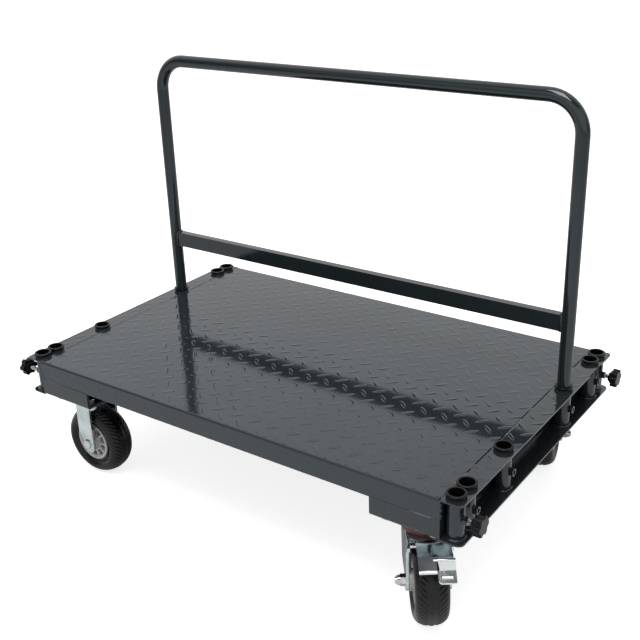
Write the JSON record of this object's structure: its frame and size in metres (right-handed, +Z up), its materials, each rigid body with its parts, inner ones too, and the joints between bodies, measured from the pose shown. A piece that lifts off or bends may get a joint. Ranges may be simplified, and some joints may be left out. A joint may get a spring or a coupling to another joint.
{
  "type": "platform cart",
  "caption": "Platform cart with a tread plate deck, end channels with round sockets and clamp knobs, a tubular push bar, rigid casters and braked swivel casters.",
  "frame": {"origin": "on the floor under the middle of the deck", "axes": "+X along the deck to the swivel caster end, +Y to the side where the push bar stands, +Z up"},
  "size_m": [1.066, 0.7059, 0.8157],
  "materials": {
    "deck_paint": "gloss paint on tread plate",
    "frame_paint": "gloss paint",
    "bar_paint": "gloss paint",
    "zinc_steel": "bright zinc plate",
    "bright_steel": "zinc plated hardware",
    "rim_metal": "satin grey",
    "tyre_rubber": "satin black",
    "shoe_rubber": "matt black",
    "bush_plastic": "satin black",
    "knob_plastic": "black",
    "seal_plastic": "red-brown"
  },
  "bodies": {
    "frame": {"caster_mount_bolts": "bright_steel", "caster_mount_nuts": "bright_steel", "deck_plate": "deck_paint", "front_stiffener": "frame_paint", "left_end_channel": "frame_paint", "left_front_caster_bracket": "frame_paint", "left_front_rigid_fork": "zinc_steel", "left_rear_caster_bracket": "frame_paint", "left_rear_rigid_fork": "zinc_steel", "left_socket_bushes": "bush_plastic", "left_socket_tubes": "frame_paint", "left_weld_nuts": "frame_paint", "rear_stiffener": "frame_paint", "right_end_channel": "frame_paint", "right_front_caster_bracket": "frame_paint", "right_front_swivel_plate": "zinc_steel", "right_front_swivel_seal": "seal_plastic", "right_rear_caster_bracket": "frame_paint", "right_rear_swivel_plate": "zinc_steel", "right_rear_swivel_seal": "seal_plastic", "right_socket_bushes": "bush_plastic", "right_socket_tubes": "frame_paint", "right_weld_nuts": "frame_paint", "rigid_axle_bolts": "bright_steel", "rigid_axle_nuts": "bright_steel", "swivel_kingpins": "bright_steel"},
    "push_bar": {"push_bar": "bar_paint", "push_bar_crossbar": "bar_paint"},
    "left_front_stud": {"left_front_clamp_stud": "bright_steel"},
    "left_front_knob": {"left_front_clamp_knob": "knob_plastic"},
    "left_front_wheel": {"left_front_wheel_rim": "rim_metal", "left_front_wheel_tyre": "tyre_rubber", "left_front_wheel_bearings": "bright_steel"},
    "left_rear_stud": {"left_rear_clamp_stud": "bright_steel"},
    "left_rear_knob": {"left_rear_clamp_knob": "knob_plastic"},
    "left_rear_wheel": {"left_rear_wheel_rim": "rim_metal", "left_rear_wheel_tyre": "tyre_rubber", "left_rear_wheel_bearings": "bright_steel"},
    "right_front_stud": {"right_front_clamp_stud": "bright_steel"},
    "right_front_knob": {"right_front_clamp_knob": "knob_plastic"},
    "right_front_wheel": {"right_front_wheel_rim": "rim_metal", "right_front_wheel_tyre": "tyre_rubber", "right_front_wheel_bearings": "bright_steel"},
    "right_front_fork": {"right_front_swivel_fork": "zinc_steel", "right_front_axle_bolt": "bright_steel", "right_front_axle_nut": "bright_steel"},
    "right_front_pedal": {"right_front_brake_pedal": "zinc_steel", "right_front_brake_shoe": "shoe_rubber"},
    "right_front_tab": {"right_front_brake_release_tab": "zinc_steel"},
    "right_rear_stud": {"right_rear_clamp_stud": "bright_steel"},
    "right_rear_knob": {"right_rear_clamp_knob": "knob_plastic"},
    "right_rear_wheel": {"right_rear_wheel_rim": "rim_metal", "right_rear_wheel_tyre": "tyre_rubber", "right_rear_wheel_bearings": "bright_steel"},
    "right_rear_fork": {"right_rear_swivel_fork": "zinc_steel", "right_rear_axle_bolt": "bright_steel", "right_rear_axle_nut": "bright_steel"},
    "right_rear_pedal": {"right_rear_brake_pedal": "zinc_steel", "right_rear_brake_shoe": "shoe_rubber"},
    "right_rear_tab": {"right_rear_brake_release_tab": "zinc_steel"}
  },
  "joints": [
    {"name": "push_bar_lift", "type": "slide", "parent": "frame", "child": "push_bar", "axis": [0, 0, 1], "range_m": [0, 0.07]},
    {"name": "left_front_stud_slide", "type": "slide", "parent": "frame", "child": "left_front_stud", "axis": [-1, 0, 0], "range_m": [-0.00625, 0.00625]},
    {"name": "left_front_knob_turn", "type": "hinge", "parent": "left_front_stud", "child": "left_front_knob", "pos_m": [-0.4775, -0.292, 0.228], "axis": [-1, 0, 0], "range_deg": [-1800, 1800]},
    {"name": "left_front_wheel_spin", "type": "hinge", "parent": "frame", "child": "left_front_wheel", "pos_m": [-0.395, -0.24, 0.075], "axis": [0, 1, 0], "continuous": true},
    {"name": "left_rear_stud_slide", "type": "slide", "parent": "frame", "child": "left_rear_stud", "axis": [-1, 0, 0], "range_m": [-0.00625, 0.00625]},
    {"name": "left_rear_knob_turn", "type": "hinge", "parent": "left_rear_stud", "child": "left_rear_knob", "pos_m": [-0.4775, 0.292, 0.228], "axis": [-1, 0, 0], "range_deg": [-1800, 1800]},
    {"name": "left_rear_wheel_spin", "type": "hinge", "parent": "frame", "child": "left_rear_wheel", "pos_m": [-0.395, 0.24, 0.075], "axis": [0, 1, 0], "continuous": true},
    {"name": "right_front_stud_slide", "type": "slide", "parent": "frame", "child": "right_front_stud", "axis": [1, 0, 0], "range_m": [-0.00625, 0.00625]},
    {"name": "right_front_knob_turn", "type": "hinge", "parent": "right_front_stud", "child": "right_front_knob", "pos_m": [0.4775, -0.292, 0.228], "axis": [1, 0, 0], "range_deg": [-1800, 1800]},
    {"name": "right_front_swivel", "type": "hinge", "parent": "frame", "child": "right_front_fork", "pos_m": [0.395, -0.24, 0.191], "axis": [0, 0, 1], "continuous": true},
    {"name": "right_front_pedal_press", "type": "hinge", "parent": "right_front_fork", "child": "right_front_pedal", "pos_m": [0.4295, -0.28662, 0.151], "axis": [0.8039, 0.5948, 0], "range_deg": [0, 10]},
    {"name": "right_front_tab_lift", "type": "hinge", "parent": "right_front_pedal", "child": "right_front_tab", "pos_m": [0.45448, -0.32039, 0.15475], "axis": [0.8039, 0.5948, 0], "range_deg": [-15, 0]},
    {"name": "right_front_wheel_spin", "type": "hinge", "parent": "right_front_fork", "child": "right_front_wheel", "pos_m": [0.42117, -0.27537, 0.075], "axis": [0.8039, 0.5948, 0], "continuous": true},
    {"name": "right_rear_stud_slide", "type": "slide", "parent": "frame", "child": "right_rear_stud", "axis": [1, 0, 0], "range_m": [-0.00625, 0.00625]},
    {"name": "right_rear_knob_turn", "type": "hinge", "parent": "right_rear_stud", "child": "right_rear_knob", "pos_m": [0.4775, 0.292, 0.228], "axis": [1, 0, 0], "range_deg": [-1800, 1800]},
    {"name": "right_rear_swivel", "type": "hinge", "parent": "frame", "child": "right_rear_fork", "pos_m": [0.395, 0.24, 0.191], "axis": [0, 0, 1], "continuous": true},
    {"name": "right_rear_pedal_press", "type": "hinge", "parent": "right_rear_fork", "child": "right_rear_pedal", "pos_m": [0.38097, 0.29628, 0.151], "axis": [-0.9703, -0.2419, 0], "range_deg": [0, 10]},
    {"name": "right_rear_tab_lift", "type": "hinge", "parent": "right_rear_pedal", "child": "right_rear_tab", "pos_m": [0.37081, 0.33703, 0.15475], "axis": [-0.9703, -0.2419, 0], "range_deg": [-15, 0]},
    {"name": "right_rear_wheel_spin", "type": "hinge", "parent": "right_rear_fork", "child": "right_rear_wheel", "pos_m": [0.38436, 0.28269, 0.075], "axis": [-0.9703, -0.2419, 0], "continuous": true}
  ],
  "couplings": [
    {"joint": "left_front_knob_turn", "follows": "left_front_stud_slide", "rad_per_m": 5026.5},
    {"joint": "left_rear_knob_turn", "follows": "left_rear_stud_slide", "rad_per_m": 5026.5},
    {"joint": "right_front_knob_turn", "follows": "right_front_stud_slide", "rad_per_m": 5026.5},
    {"joint": "right_front_tab_lift", "follows": "right_front_pedal_press", "ratio": -1.5},
    {"joint": "right_rear_knob_turn", "follows": "right_rear_stud_slide", "rad_per_m": 5026.5},
    {"joint": "right_rear_tab_lift", "follows": "right_rear_pedal_press", "ratio": -1.5}
  ]
}
